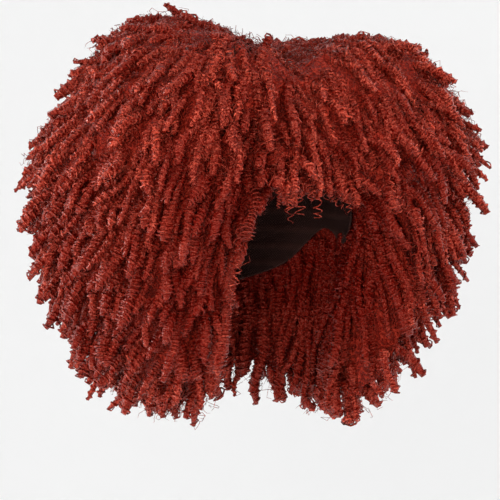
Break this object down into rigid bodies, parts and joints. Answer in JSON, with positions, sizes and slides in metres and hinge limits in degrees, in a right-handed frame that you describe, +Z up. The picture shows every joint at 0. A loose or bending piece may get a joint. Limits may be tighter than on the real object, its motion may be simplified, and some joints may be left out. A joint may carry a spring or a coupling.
{
  "type": "afro wig",
  "caption": "Full cap wig of tight corkscrew curls in a wide rounded afro, lobed at the crown, with a curly fringe over an open face and long sides.",
  "frame": {"origin": "inside of the cap's crown, where it rests on the head", "axes": "+Z up, -Y the way the face opening looks, +X towards the wearer's left"},
  "size_m": [0.4242, 0.3527, 0.3732],
  "materials": {
    "hair": "copper red corkscrew fibre with a soft sheen",
    "cap_net": "dark stretch net"
  },
  "bodies": {
    "root": {"cap_crown": "cap_net", "cap_front": "cap_net", "cap_side_right": "cap_net", "cap_side_left": "cap_net", "cap_back": "cap_net", "crown_hair": "hair", "fringe": "hair", "upper_side_hair_right": "hair", "lower_side_hair_right": "hair", "upper_side_hair_left": "hair", "lower_side_hair_left": "hair", "upper_back_hair": "hair", "nape_hair": "hair"}
  },
  "joints": []
}
